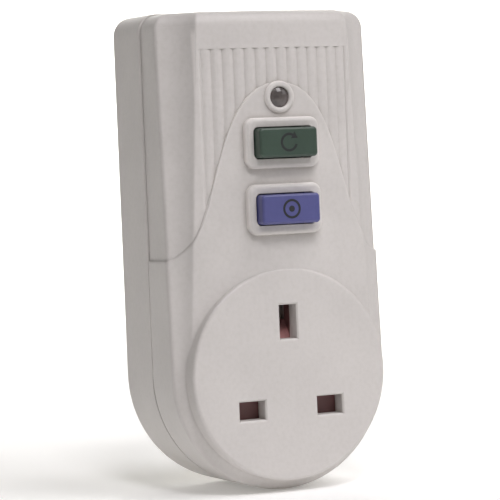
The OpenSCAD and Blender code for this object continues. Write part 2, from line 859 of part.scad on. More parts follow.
module shutter_spring() {
    color(steel) translate([0, shutter_y + shutter_t / 2, shutter_seat_z])
        coil_spring(shutter_spring_r, shutter_spring_wire, shutter_spring_turns, shutter_spring_l);
}

module contact_block() {
    color([0.88, 0.87, 0.84]) difference() {
        union() {
            block(-block_half_w, block_half_w, block_y, block_back, block_low, block_high);
            block(-ear_half_w, ear_half_w, block_y, block_y + ear_t, ear_z - ear_h / 2, ear_z + ear_h / 2);
        }
        both_sides() {
            block(pin_x - slot_long / 2, pin_x + slot_long / 2, block_y - over, block_back + over,
                pin_z - clip_h / 2 - fit, pin_z + clip_h / 2 + fit);
            rod(block_screw_x, ear_z, block_y - over, block_back, small_screw + 2 * fit);
        }
        block(-clip_h / 2 - fit, clip_h / 2 + fit, block_y - over, block_back + over,
            earth_z - earth_slot_long / 2, earth_z + earth_slot_long / 2);
    }
}

module block_screws() {
    color(steel) both_sides() translate([block_screw_x, 0, ear_z]) {
        rod(0, 0, block_y + ear_t, block_y + ear_t + small_head_h, small_head);
        rod(0, 0, socket_in - screw_bite, block_y + ear_t + eps, small_screw);
    }
}

// Two leaves that grip a pin from above and below, joined by a base plate at the back
module clip(w, reach_x, reach_z) {
    half = clip_gap / 2;
    for (s = [0, 1]) mirror([0, 0, s]) translate([-w / 2, 0, 0]) rotate([90, 0, 90]) linear_extrude(w)
        polygon([[block_y + clip_mouth, half + contact_t], [block_y + clip_mouth, half],
            [block_y + 3 * clip_mouth, half - clip_pinch], [block_y + 5 * clip_mouth, half],
            [block_back + eps, half], [block_back + eps, half + contact_t]]);
    block(-reach_x, reach_x, block_back, base_back, -reach_z, reach_z);
}

module line_socket_contact(side) {
    color(brass) translate([side * pin_x, 0, pin_z])
        clip(pin_w, pin_w / 2 + clip_edge, clip_h / 2 + clip_edge);
}

module live_socket_contact() {
    line_socket_contact(1);
}

module neutral_socket_contact() {
    line_socket_contact(-1);
}

module earth_socket_contact() {
    color(brass) translate([0, 0, earth_z]) rotate([0, 90, 0])
        clip(earth_pin_h, earth_pin_h / 2 + clip_edge, clip_h / 2 + clip_edge);
}

module button_body(z, stem_dia, stem_end) {
    face_y = front_y - button_proud;
    translate([0, 0, z]) {
        to_front(button_flange_y + eps)
            soft_slab(button_w, button_h, button_flange_y - face_y + eps, button_corner, button_round);
        to_front(stem_y) soft_slab(button_w + 2 * button_flange_edge, button_h + 2 * button_flange_edge,
            button_flange_t, button_corner, 0);
        rod(0, 0, stem_y - eps, stem_end, stem_dia);
    }
}

module reset_button() {
    color([0.24, 0.29, 0.26]) button_body(reset_z, reset_stem_dia, carriage_y - play);
}

module test_button() {
    color([0.32, 0.33, 0.52]) button_body(test_z, test_stem_dia, leaf_y - play);
}

module indicator_lens() {
    dome_r = lens_dia;
    dome_y = front_y - ring_proud;
    flange_front = front_y + wall + fit;
    pipe_end = board_y - lamp_h - play;
    color([0.36, 0.34, 0.34]) translate([0, 0, lens_z]) {
        intersection() {
            rod(0, 0, dome_y - over, flange_front + eps, lens_dia);
            translate([0, dome_y + dome_r, 0]) sphere(dome_r);
        }
        rod(0, 0, dome_y + dome_r / 2, flange_front + eps, lens_dia);
        rod(0, 0, flange_front, flange_front + lens_flange_t, lens_dia + 2 * lens_flange_edge);
        rod(0, 0, flange_front + lens_flange_t - eps, pipe_end, lamp_dia);
    }
}

module indicator_led() {
    dome_y = board_y - lamp_h + lamp_dia / 2;
    color([0.75, 0.25, 0.22]) translate([0, 0, lens_z]) {
        rod(0, 0, board_y - lamp_rim_h, board_y, lamp_dia + 2 * lamp_rim);
        rod(0, 0, dome_y, board_y - lamp_rim_h + eps, lamp_dia);
        translate([0, dome_y, 0]) sphere(d = lamp_dia);
    }
}

module circuit_board() {
    color([0.16, 0.36, 0.22]) difference() {
        block(-board_half_w, board_half_w, board_y, board_back, board_low, board_high);
        for (p = board_screws_at) rod(p[0], p[1], board_y - over, board_back + over, small_screw + 2 * fit);
        for (p = case_screws_at) rod(p[0], p[1], board_y - over, board_back + over, 2 * (pillar_r + play));
    }
}

module board_screws() {
    color(steel) for (p = board_screws_at)
        small_screw_at(p[0], p[1], board_y, board_t + board_stand + screw_bite);
}

module sensing_toroid() {
    edge = 1;
    color([0.20, 0.24, 0.34]) translate([0, toroid_y, shelf_z]) rotate_extrude() polygon([
        [toroid_id / 2, 0], [toroid_od / 2, 0], [toroid_od / 2, toroid_h - edge],
        [toroid_od / 2 - edge, toroid_h], [toroid_id / 2, toroid_h]]);
}

// Conductor from a pin, through the toroid and out to the line contact
module conductor(side) {
    in_x = toroid_id / 4;
    route = [
        [pin_x, conductor_y, pin_z + pin_t / 2],
        [pin_x, conductor_y, shelf_z - 4 * bend],
        [pin_x - bend, conductor_y - bend / 2, shelf_z - 2 * bend],
        [in_x + bend / 5, toroid_y, shelf_z - bend],
        [in_x, toroid_y, shelf_z - shelf_t],
        [in_x, toroid_y, toroid_top + bend / 2],
        [in_x + bend, toroid_y + bend / 2, toroid_top + 1.5 * bend],
        [contact_x - bend, upper_y, toroid_top + 2 * bend],
        [out_x - bend / 3, upper_y, toroid_top + 3 * bend],
        [out_x, upper_y, toroid_top + 4 * bend],
        [out_x, upper_y, line_z - bend],
        [out_x - bend / 3, upper_y, line_z - bend / 5],
        [contact_x + strip_w / 2 + bend / 4, upper_y, line_z],
        [contact_x + strip_w / 2, upper_y, line_z]
    ];
    swept_wire(side > 0 ? route : mirrored(route), wire_dia, 8, [0, 1, 0]);
}

module live_conductor() {
    color([0.55, 0.36, 0.24]) conductor(1);
}

module neutral_conductor() {
    color([0.28, 0.38, 0.60]) conductor(-1);
}

module solenoid_frame() {
    color(steel) translate([0, 0, reset_z]) difference() {
        block(-yoke_half_w, yoke_half_w, yoke_y, board_y, -yoke_half_h, yoke_half_h);
        block(yoke_t - yoke_half_w, yoke_half_w - yoke_t, bobbin_y, bobbin_back,
            -yoke_half_h - over, yoke_half_h + over);
        rod(0, 0, yoke_y - over, bobbin_y + over, plunger_bore);
    }
}

module solenoid_bobbin() {
    half = min(yoke_half_h, yoke_half_w - yoke_t - fit);
    color([0.86, 0.84, 0.78]) translate([0, 0, reset_z]) difference() {
        union() {
            rod(0, 0, bobbin_y, bobbin_back, plunger_bore + 2 * bobbin_wall);
            block(-half, half, bobbin_y, bobbin_y + bobbin_flange, -half, half);
            block(-half, half, bobbin_back - bobbin_flange, bobbin_back, -half, half);
        }
        rod(0, 0, bobbin_y - over, bobbin_back + over, plunger_bore);
    }
}

module solenoid_coil() {
    y0 = bobbin_y + bobbin_flange;
    y1 = bobbin_back - bobbin_flange;
    color([0.70, 0.40, 0.22]) translate([0, 0, reset_z]) difference() {
        rod(0, 0, y0, y1, coil_dia);
        rod(0, 0, y0 - over, y1 + over, plunger_bore + 2 * bobbin_wall);
    }
}

module solenoid_plunger() {
    color(steel) rod(0, reset_z, strip_y, plunger_back, plunger_dia);
}

module contact_carriage() {
    color([0.86, 0.85, 0.80]) translate([0, 0, reset_z]) {
        rod(0, 0, carriage_y, strip_y, hub_dia);
        block(-arm_half_l, arm_half_l, strip_y - arm_t, strip_y, -arm_h / 2, arm_h / 2);
    }
}

module moving_contacts() {
    half_l = contact_dz + tip_dia / 2;
    color(brass) both_sides() translate([contact_x, 0, reset_z]) {
        block(-strip_w / 2, strip_w / 2, strip_y, strip_y + strip_t, -half_l, half_l);
        for (z = [-contact_dz, contact_dz])
            rod(0, z, strip_y + strip_t - eps, strip_y + strip_t + tip_t, tip_dia);
    }
}

module carriage_spring() {
    color(steel) translate([0, 0, reset_z]) to_back(strip_y)
        coil_spring(plunger_dia / 2 + spring_wire / 2 + play, spring_wire, spring_turns, spring_l);
}

module fixed_contacts(dz) {
    both_sides() translate([contact_x, 0, reset_z + dz]) {
        rod(0, 0, fixed_tip_y, fixed_post_y + eps, tip_dia);
        block(-strip_w / 2, strip_w / 2, fixed_post_y, board_y, -post_w / 2, post_w / 2);
    }
}

module line_contacts() {
    color(brass) fixed_contacts(contact_dz);
}

module load_contacts() {
    color(brass) fixed_contacts(-contact_dz);
}

// Strip on the back of the contact block, from a socket contact up to its load contact
module load_bar(side) {
    top = reset_z - contact_dz - post_w / 2;
    foot = pin_z + clip_h / 2 + clip_edge;
    inner = contact_x - strip_w / 2;
    color(brass) mirror([side > 0 ? 0 : 1, 0, 0])
        block(inner, contact_x + strip_w / 2, block_back, base_back, foot, top);
}

module live_load_bar() {
    load_bar(1);
}

module neutral_load_bar() {
    load_bar(-1);
}

module test_contact_leaf() {
    color(brass) {
        block(-leaf_w / 2, leaf_w / 2, leaf_y, leaf_y + leaf_t, leaf_low, leaf_high);
        block(-leaf_w / 2, leaf_w / 2, leaf_y, board_y, leaf_high - leaf_leg_t, leaf_high);
    }
}

module test_contact_post() {
    color(brass) block(-post_w / 2, post_w / 2, test_post_y, board_y,
        test_z - test_post_h / 2, test_z + test_post_h / 2);
}

// Component with round body of size [diameter, length] lying on the board
module axial_part(x, z, size, turn) {
    translate([x, board_y - size[0] / 2, z]) rotate([0, turn, 0])
        cylinder(d = size[0], h = size[1], center = true);
}

// Box component of size [x, y, z] on the board, with its lower left corner at x and z
module box_part(x, z, size) {
    translate([x, board_y - size[1], z]) cube(size);
}

module test_resistor() {
    color([0.78, 0.68, 0.50])
        axial_part(post_w / 2 + 1.25 * test_resistor_size[0], lower_row_z + test_resistor_size[1] / 2,
            test_resistor_size, 0);
}

module varistor() {
    color([0.20, 0.30, 0.55]) axial_part(bend / 2 - contact_x, upper_row_z, varistor_size, 0);
}

module smoothing_capacitor() {
    color([0.20, 0.20, 0.24])
        rod(contact_x - bend, upper_row_z, board_y - capacitor_size[1], board_y, capacitor_size[0]);
}

module rectifier_diodes() {
    x = -lamp_dia / 2 - diode_size[1];
    color(dark_plastic) for (i = [0:3])
        axial_part(x, board_high - diode_size[0] - diode_pitch * i, diode_size, 90);
}

module thyristor() {
    color(dark_plastic) box_part(lamp_dia - lamp_rim, upper_row_z - thyristor_size[2] / 2, thyristor_size);
}

module control_chip() {
    color(dark_plastic) box_part(-chip_size[0] * 2, lower_row_z, chip_size);
}

module board_resistors() {
    color([0.30, 0.30, 0.32]) for (i = [0:3])
        box_part(2 * bend + lamp_rim_h, lower_row_z + chip_resistor_pitch * i, chip_resistor_size);
}

front_cover();
rear_cover();
case_screws();
live_pin();
neutral_pin();
earth_pin();
live_pin_sleeve();
neutral_pin_sleeve();
pin_retainer();
retainer_screws();
socket_shutter();
shutter_spring();
contact_block();
block_screws();
live_socket_contact();
neutral_socket_contact();
earth_socket_contact();
reset_button();
test_button();
indicator_lens();
indicator_led();
circuit_board();
board_screws();
sensing_toroid();
live_conductor();
neutral_conductor();
solenoid_frame();
solenoid_bobbin();
solenoid_coil();
solenoid_plunger();
contact_carriage();
moving_contacts();
carriage_spring();
line_contacts();
load_contacts();
live_load_bar();
neutral_load_bar();
test_contact_leaf();
test_contact_post();
test_resistor();
varistor();
smoothing_capacitor();
rectifier_diodes();
thyristor();
control_chip();
board_resistors();
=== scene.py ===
"""Looks of the residual current adapter: materials, marks, springs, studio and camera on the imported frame."""
import json
import math
from functools import reduce

import bmesh
import bpy
from mathutils import Matrix, Vector


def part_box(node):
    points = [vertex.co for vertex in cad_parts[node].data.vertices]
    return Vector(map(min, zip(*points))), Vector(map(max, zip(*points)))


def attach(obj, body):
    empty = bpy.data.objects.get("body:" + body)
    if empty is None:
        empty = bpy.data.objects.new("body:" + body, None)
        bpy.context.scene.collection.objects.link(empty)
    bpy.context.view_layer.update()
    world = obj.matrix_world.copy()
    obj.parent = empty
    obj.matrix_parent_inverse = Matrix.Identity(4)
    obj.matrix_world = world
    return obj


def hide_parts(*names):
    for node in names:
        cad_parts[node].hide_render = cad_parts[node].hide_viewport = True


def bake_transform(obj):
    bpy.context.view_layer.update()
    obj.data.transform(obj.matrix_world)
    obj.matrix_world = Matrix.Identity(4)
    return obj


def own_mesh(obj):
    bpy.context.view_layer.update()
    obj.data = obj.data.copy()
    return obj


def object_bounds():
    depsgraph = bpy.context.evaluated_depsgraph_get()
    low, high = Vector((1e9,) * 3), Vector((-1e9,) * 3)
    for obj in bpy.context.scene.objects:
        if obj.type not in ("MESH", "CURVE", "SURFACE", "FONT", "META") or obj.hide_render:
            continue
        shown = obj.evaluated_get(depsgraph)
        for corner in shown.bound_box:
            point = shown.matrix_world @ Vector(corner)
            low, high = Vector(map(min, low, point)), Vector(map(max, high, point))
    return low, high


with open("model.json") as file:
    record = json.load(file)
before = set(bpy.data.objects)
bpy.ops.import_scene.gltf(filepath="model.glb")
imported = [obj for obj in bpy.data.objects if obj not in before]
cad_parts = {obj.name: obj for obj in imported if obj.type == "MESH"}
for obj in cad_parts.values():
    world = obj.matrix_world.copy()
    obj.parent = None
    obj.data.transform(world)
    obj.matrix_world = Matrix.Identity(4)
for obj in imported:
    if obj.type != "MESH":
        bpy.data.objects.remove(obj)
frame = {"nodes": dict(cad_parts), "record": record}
NODES = frame["nodes"]
cad_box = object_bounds()
scene = bpy.context.scene
scene.view_settings.view_transform = "Standard"

X, Y, Z = Vector((1.0, 0.0, 0.0)), Vector((0.0, 1.0, 0.0)), Vector((0.0, 0.0, 1.0))
WHITE = (1.0, 1.0, 1.0)

# Noise per metre: broad clouding of a colour, specks in it, and the grain of a moulded face
CLOUDS, SPECKS, GRAIN = 70, 900, 2600
GRAIN_STRENGTH, GRAIN_ROUGH, MOULDED_VARY = 0.6, 0.6, 0.06


class Nodes:
    """Short way to build one material's node tree."""

    def __init__(self, name):
        self.material = bpy.data.materials.new(name)
        self.material.use_nodes = True
        self.tree = self.material.node_tree
        self.shader = self.tree.nodes["Principled BSDF"]
        coordinates = self.add("ShaderNodeTexCoord")
        self.place = coordinates.outputs["Object"]
        self.facing = coordinates.outputs["Normal"]

    def add(self, kind, **values):
        node = self.tree.nodes.new(kind)
        for key, value in values.items():
            setattr(node, key, value)
        return node

    def link(self, out, socket):
        self.tree.links.new(out, socket)

    def set(self, **values):
        """Constants on the shader's own sockets."""
        for key, value in values.items():
            self.shader.inputs[key.replace("_", " ")].default_value = value

    def colour(self, out):
        self.link(out, self.shader.inputs["Base Color"])

    def roughness(self, value, low, high):
        self.link(self.spread(value, low, high), self.shader.inputs["Roughness"])

    def stretched(self, scale):
        """Object coordinates, stretched along an axis by a smaller number there."""
        node = self.add("ShaderNodeMapping")
        node.inputs["Scale"].default_value = scale
        self.link(self.place, node.inputs["Vector"])
        return node.outputs["Vector"]

    def noise(self, per_metre, detail=3.0, vector=None, rough=0.5):
        node = self.add("ShaderNodeTexNoise")
        node.inputs["Scale"].default_value = per_metre
        node.inputs["Detail"].default_value = detail
        node.inputs["Roughness"].default_value = rough
        self.link(vector or self.place, node.inputs["Vector"])
        return node.outputs["Fac"]

    def clouds(self):
        return self.noise(CLOUDS, 4.0)

    def specks(self):
        return self.noise(SPECKS, 2.0)

    def ramp(self, value, stops):
        node = self.add("ShaderNodeValToRGB")
        while len(node.color_ramp.elements) < len(stops):
            node.color_ramp.elements.new(0.5)
        for element, (at, colour) in zip(node.color_ramp.elements, stops):
            element.position = at
            element.color = (*colour, 1.0)
        self.link(value, node.inputs["Fac"])
        return node.outputs["Color"]

    def tones(self, value, colour, low, high):
        """A colour that varies between two shares of itself."""
        return self.ramp(value, [(0.3, shade(colour, low)), (0.7, shade(colour, high))])

    def spread(self, value, low, high, start=0.3, end=0.7):
        """Value from start to end, mapped to low to high and held there."""
        node = self.add("ShaderNodeMapRange")
        node.inputs["From Min"].default_value = start
        node.inputs["From Max"].default_value = end
        node.inputs["To Min"].default_value = low
        node.inputs["To Max"].default_value = high
        self.link(value, node.inputs["Value"])
        return node.outputs["Result"]

    def above(self, value, start, end, full=1.0):
        return self.spread(value, 0.0, full, start, end)

    def below(self, value, start, end):
        return self.spread(value, 1.0, 0.0, start, end)

    def between(self, value, rise, fall, full=1.0):
        """Soft-edged zone of a value: it comes in over the rise and goes out over the fall."""
        return self.product(self.above(value, *rise, full), self.below(value, *fall))

    def split(self, vector):
        node = self.add("ShaderNodeSeparateXYZ")
        self.link(vector, node.inputs["Vector"])
        return node.outputs["X"], node.outputs["Y"], node.outputs["Z"]

    def sum(self, operation, a, b):
        """One step of arithmetic on two outputs, or on an output and a number."""
        node = self.add("ShaderNodeMath", operation=operation)
        self.link(a, node.inputs[0])
        if isinstance(b, (int, float)):
            node.inputs[1].default_value = b
        else:
            self.link(b, node.inputs[1])
        return node.outputs["Value"]

    def product(self, *values):
        return reduce(lambda a, b: self.sum("MULTIPLY", a, b), values)

    def largest(self, *values):
        return reduce(lambda a, b: self.sum("MAXIMUM", a, b), values)

    def closeness(self, reach, inside=False):
        """1 on open faces, less in hollows up to this reach, or inside next to outer edges."""
        node = self.add("ShaderNodeAmbientOcclusion", samples=8, inside=inside, only_local=inside)
        node.inputs["Distance"].default_value = reach
        return node.outputs["AO"]

    def blend(self, kind, fac, a, b):
        node = self.add("ShaderNodeMix", data_type="RGBA", blend_type=kind)
        if isinstance(fac, float):
            node.inputs["Factor"].default_value = fac
        else:
            self.link(fac, node.inputs["Factor"])
        self.link(a, node.inputs["A"])
        self.link(b, node.inputs["B"])
        return node.outputs["Result"]

    def bump(self, height, depth, strength=1.0, edge=0.0):
        """Relief on the face, over edges softened to a radius, which may vary from place to place."""
        node = self.add("ShaderNodeBump")
        node.inputs["Distance"].default_value = depth
        node.inputs["Strength"].default_value = strength
        self.link(height, node.inputs["Height"])
        if edge:
            soft = self.add("ShaderNodeBevel", samples=6)
            if isinstance(edge, float):
                soft.inputs["Radius"].default_value = edge
            else:
                self.link(edge, soft.inputs["Radius"])
            self.link(soft.outputs["Normal"], node.inputs["Normal"])
        self.link(node.outputs["Normal"], self.shader.inputs["Normal"])

    def grain(self, depth, edge, rough=GRAIN_ROUGH):
        """Fine sparked relief of a moulded face."""
        self.bump(self.noise(GRAIN, 3.0, rough=rough), depth, GRAIN_STRENGTH, edge)


def shade(colour, by):
    return tuple(min(1.0, c * by) for c in colour)


def moulded(name, colour, rough, grain=0.00002, vary=0.05, edge=0.0002, coat=0.0):
    """Moulded plastic: a fine sparked grain and faint clouding of the colour."""
    n = Nodes(name)
    specks = n.specks()
    tone = n.tones(n.clouds(), colour, 1 - vary, 1 + vary)
    fine = n.ramp(specks, [(0.25, (0.93, 0.93, 0.92)), (0.6, WHITE)])
    n.colour(n.blend("MULTIPLY", 0.8, tone, fine))
    n.roughness(specks, rough - MOULDED_VARY, rough + MOULDED_VARY)
    n.set(IOR=1.5, Coat_Weight=coat, Coat_Roughness=0.2)
    n.grain(grain, edge)
    return n.material


# Zones of the covers, in metres: heights, distances out from the middle line, and depths
RIBS_RISE, RIBS_FALL = (0.032, 0.036), (0.088, 0.090)
DISC_RISE, DISC_FALL = (-0.004, 0.006), (0.030, 0.034)
SIDE_STEP_RISE = (0.0270, 0.0285)
RIB_END_RISE, RIB_END_FALL = (0.0192, 0.0200), (0.0225, 0.0240)
COVE_EDGE = (0.0222, 0.0226)
OUTER_EDGE = (0.0192, 0.0202)
SIDE_WALL = (0.0280, 0.0288)
FRONT_DEPTH = (-0.0325, -0.0305)
SEAM_DEPTH = (-0.0215, -0.0200)
SHOULDER_INSET, SEAM_INSET = (0.0024, 0.0006), (0.006, 0.0025)

# Shares of the normal: faces that turn away from the front, and faces that don't look down
STEEP, NOT_DOWN = (-0.85, -0.45), (-0.6, -0.2)

# Reach of the painted highlights on outer edges and of the painted shade in hollows in metres, the openness
# over which they fade, and the painted shade's weight
EDGE_HIGHLIGHT_REACH, EDGE_HIGHLIGHT_FADE = 0.0009, (0.5, 0.95)
PAINTED_SHADE_REACH, PAINTED_SHADE_FADE = 0.0016, (0.35, 0.92)
PAINTED_SHADE_MOST, PAINTED_SHADE_LEFT = 0.85, 0.1

# Radii of the soft edges, in metres
INNER_EDGE_R, OUTER_EDGE_R, SHOULDER_R = 0.0003, 0.0011, 0.0009


def shell_plastic(name, colour, rough):
    """White moulding with soft edges, softest along the shoulders, painted shade in its hollows and painted
    highlights on its outer edges and small walls.
    """
    n = Nodes(name)
    low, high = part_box("front_cover")
    clouds, specks = n.clouds(), n.specks()
    x, y, z = n.split(n.place)
    ahead, up = n.split(n.facing)[1:]

    # Distance out from the middle line, and round the half circle at the bottom
    under = n.sum("MINIMUM", n.sum("SUBTRACT", z, low.z + high.x), 0.0)
    out = n.sum("POWER", n.sum("ADD", n.product(x, x), n.product(under, under)), 0.5)

    # Colour, with painted highlights: paler on outer edges, standing in for the light caught along their rims,
    # and paler on the small walls of the shield, the frames and the ring, standing in for light that doesn't
    # reach them
    steep = n.product(n.above(ahead, *STEEP), n.above(up, *NOT_DOWN))
    painted_light_wall = n.product(steep, n.between(z, RIBS_RISE, RIBS_FALL), n.below(out, *COVE_EDGE),
                           n.below(y, *FRONT_DEPTH))
    fine = n.ramp(specks, [(0.25, (0.94, 0.94, 0.93)), (0.6, WHITE)])
    tone = n.blend("MULTIPLY", 0.8, n.tones(clouds, colour, 0.97, 1.03), fine)
    # Painted highlight on outer edges
    painted_light = n.below(n.closeness(EDGE_HIGHLIGHT_REACH, inside=True), *EDGE_HIGHLIGHT_FADE)
    tone = n.blend("MIX", painted_light, tone, n.tones(clouds, colour, 1.13, 1.18))
    # Painted light on the small walls
    tone = n.blend("MIX", painted_light_wall, tone, n.tones(clouds, colour, 1.30, 1.36))

    # Painted shade in the hollows, where shade falls, with less round the disc, at the ends of the ribs and on
    # the small and side walls
    disc = n.between(z, DISC_RISE, DISC_FALL)
    rib_end = n.between(out, RIB_END_RISE, RIB_END_FALL, full=0.8)
    behind = n.spread(y, 1.0, 0.6, *SEAM_DEPTH)
    side = n.product(n.above(out, *SIDE_WALL), n.above(z, *SIDE_STEP_RISE), behind)
    less_shade = n.spread(n.largest(disc, rib_end, painted_light_wall, side), 1.0, PAINTED_SHADE_LEFT, 0.0, 1.0)
    # Painted shade: darker in hollows
    painted_shade = n.product(n.spread(n.closeness(PAINTED_SHADE_REACH), PAINTED_SHADE_MOST, 0.0, *PAINTED_SHADE_FADE), less_shade)
    shade_grey = n.ramp(specks, [(0.3, (0.56, 0.545, 0.52)), (0.7, (0.62, 0.605, 0.58))])
    n.colour(n.blend("MULTIPLY", painted_shade, tone, shade_grey))
    n.roughness(specks, rough - MOULDED_VARY, rough + MOULDED_VARY)
    n.set(IOR=1.5)

    # Soft edges
    shoulder = n.above(out, *(high.x - inset for inset in SHOULDER_INSET))
    forward = n.below(y, *(high.y - inset for inset in SEAM_INSET))
    outer = n.spread(out, INNER_EDGE_R, OUTER_EDGE_R, *OUTER_EDGE)
    edge = n.sum("ADD", outer, n.product(shoulder, forward, SHOULDER_R))
    n.grain(0.000025, edge)
    return n.material


# Zones of the shutter behind the earth aperture, in metres
WINDOW_HALF_W = (0.0026, 0.0031)
RAMP_FALL, WINDOW_RISE = (0.0112, 0.0140), (0.0085, 0.0100)


def shutter_plastic(name, colour):
    """Red-brown plastic, darkened all over but for painted light on the up-facing ramp that the earth pin
    pushes down and in the window behind the earth aperture, where light falls in.
    """
    n = Nodes(name)
    x, _, z = n.split(n.place)
    up = n.split(n.facing)[2]
    # Painted light where light falls through the earth aperture: the up-facing ramp and, less, the window above
    # it
    middle = n.below(n.product(x, x), *(half ** 2 for half in WINDOW_HALF_W))
    ramp = n.product(middle, n.below(z, *RAMP_FALL), n.above(up, 0.25, 0.5))
    window = n.product(middle, n.above(z, *WINDOW_RISE, 0.4))
    painted_light = n.product(n.largest(ramp, window), n.spread(n.specks(), 0.8, 1.0))
    painted_light_tone = n.ramp(painted_light, [(0.0, shade(WHITE, 0.36)), (1.0, WHITE)])
    n.colour(n.blend("MULTIPLY", 1.0, n.tones(n.clouds(), colour, 0.92, 1.08), painted_light_tone))
    n.roughness(n.specks(), 0.36, 0.48)
    n.grain(0.00002, 0.0002, rough=0.5)
    return n.material


def metal(name, colour, rough, along=(1.0, 1.0, 1.0), tarnish=0.12):
    """Worked metal: drawn or rolled streaks, with a little uneven tarnish."""
    n = Nodes(name)
    streaks = n.noise(4200, 2.0, n.stretched(along))
    tone = n.ramp(n.noise(160, 4.0), [(0.3, shade(colour, 1 - tarnish)), (0.65, colour)])
    line = n.ramp(streaks, [(0.3, shade(WHITE, 0.93)), (0.7, WHITE)])
    n.colour(n.blend("MULTIPLY", 0.7, tone, line))
    n.roughness(streaks, rough - 0.04, rough + 0.06)
    n.set(Metallic=1.0)
    n.bump(streaks, 0.0000015, 0.3, 0.00025)
    return n.material


def smoked_lens(name):
    """Smoked clear plastic over a dark lamp."""
    n = Nodes(name)
    n.colour(n.ramp(n.noise(420, 2.0), [(0.3, (0.062, 0.053, 0.051)), (0.7, (0.138, 0.115, 0.110))]))
    n.roughness(n.noise(700), 0.10, 0.18)
    n.set(IOR=1.49, Coat_Weight=0.6, Coat_Roughness=0.06)
    n.bump(n.noise(300), 0.00002, 0.4)
    return n.material


def wound(name, colour):
    """Enamelled wire laid turn by turn round the coil."""
    n = Nodes(name)
    turns = n.add("ShaderNodeTexWave", bands_direction="Y")
    turns.inputs["Scale"].default_value = 320
    turns.inputs["Distortion"].default_value = 0.4
    n.link(n.place, turns.inputs["Vector"])
    n.colour(n.ramp(turns.outputs["Fac"], [(0.1, shade(colour, 0.35)), (0.6, colour)]))
    n.roughness(n.noise(500), 0.25, 0.4)
    n.set(Metallic=0.8)
    n.bump(turns.outputs["Fac"], 0.0001, 0.8)
    return n.material


def laminate(name, colour):
    """Lacquered board with its glass weave showing through."""
    n = Nodes(name)
    weave = n.add("ShaderNodeTexChecker")
    weave.inputs["Scale"].default_value = 900
    n.link(n.place, weave.inputs["Vector"])
    tone = n.tones(n.noise(120, 3.0), colour, 0.85, 1.15)
    grid = n.ramp(weave.outputs["Fac"], [(0.0, shade(WHITE, 0.85)), (1.0, WHITE)])
    n.colour(n.blend("MULTIPLY", 0.6, tone, grid))
    n.roughness(n.noise(800), 0.28, 0.42)
    n.bump(weave.outputs["Fac"], 0.00002, 0.4)
    return n.material


# One look for each material slot, and a few nodes with a look of their own
SHELL = (0.66, 0.63, 0.61)
GREEN = (0.047, 0.076, 0.057)
BLUE = (0.095, 0.099, 0.270)
DRAWN = (1.0, 0.08, 1.0)
LOOKS = {
    "shell": shell_plastic("shell_plastic", SHELL, 0.48),
    "reset_cap": moulded("reset_plastic", GREEN, 0.36, grain=0.000012, vary=0.08),
    "test_cap": moulded("test_plastic", BLUE, 0.36, grain=0.000012, vary=0.06),
    "lens": smoked_lens("smoked_plastic"),
    "lamp": moulded("lamp_resin", (0.42, 0.05, 0.04), 0.18, grain=0.000004, coat=0.4),
    "shutter": shutter_plastic("shutter_plastic", (0.46, 0.212, 0.207)),
    "sleeve": moulded("sleeve_plastic", (0.025, 0.025, 0.027), 0.45),
    "brass": metal("brass_strip", (0.80, 0.60, 0.28), 0.26, along=DRAWN),
    "steel": metal("plated_steel", (0.58, 0.58, 0.60), 0.30, along=(1.0, 0.15, 1.0)),
    "inner_moulding": moulded("natural_plastic", (0.70, 0.67, 0.60), 0.5, vary=0.04),
    "board": laminate("board_laminate", (0.035, 0.15, 0.06)),
    "toroid": moulded("core_resin", (0.04, 0.055, 0.11), 0.4, vary=0.12),
    "copper": wound("enamelled_copper", (0.60, 0.25, 0.10)),
    "live_insulation": moulded("brown_insulation", (0.19, 0.085, 0.04), 0.5),
    "neutral_insulation": moulded("blue_insulation", (0.05, 0.10, 0.30), 0.5),
    "component": moulded("component_resin", (0.028, 0.028, 0.032), 0.5),
    "resistor_body": moulded("resistor_lacquer", (0.46, 0.34, 0.19), 0.4),
    "varistor_body": moulded("varistor_coating", (0.04, 0.085, 0.28), 0.4, vary=0.1),
}
# Darker brass on the socket contacts: painted shade inside the socket
shaded_brass = metal("shaded_brass_strip", (0.36, 0.30, 0.27), 0.5, along=DRAWN)
OWN_LOOKS = {
    "contact_block": moulded("block_plastic", (0.50, 0.43, 0.42), 0.5),
    "live_socket_contact": shaded_brass,
    "neutral_socket_contact": shaded_brass,
    "earth_socket_contact": shaded_brass,
}
SLOT_OF = {part["node"]: part["material_slot"] for part in frame["record"]["subparts"]}
for name, obj in NODES.items():
    obj.data.materials.clear()
    obj.data.materials.append(OWN_LOOKS.get(name, LOOKS[SLOT_OF[name]]))

INK = moulded("mark_ink", (0.016, 0.018, 0.020), 0.55, grain=0.000006, vary=0.15, edge=0.0)


def circle(r, steps=48):
    turn = [2 * math.pi * i / steps for i in range(steps)]
    return [(r * math.cos(a), r * math.sin(a)) for a in turn]


def arc_band(r, w, start, end, steps=28):
    """Closed loop of a band of width w along an arc, in degrees."""
    turn = [math.radians(start + (end - start) * i / steps) for i in range(steps + 1)]
    outer = [((r + w / 2) * math.cos(a), (r + w / 2) * math.sin(a)) for a in turn]
    inner = [((r - w / 2) * math.cos(a), (r - w / 2) * math.sin(a)) for a in turn]
    return outer + inner[::-1]


def turning_arrow(r, w, start, end, head_w, head_l):
    """Closed loop of an arc with an arrow head at its start, pointing clockwise."""
    a = math.radians(start)
    out, ahead = Vector((math.cos(a), math.sin(a))), Vector((math.sin(a), -math.cos(a)))
    head = [r * out - head_w / 2 * out, r * out + head_l * ahead, r * out + head_w / 2 * out]
    return arc_band(r, w, start, end) + [tuple(point) for point in head]


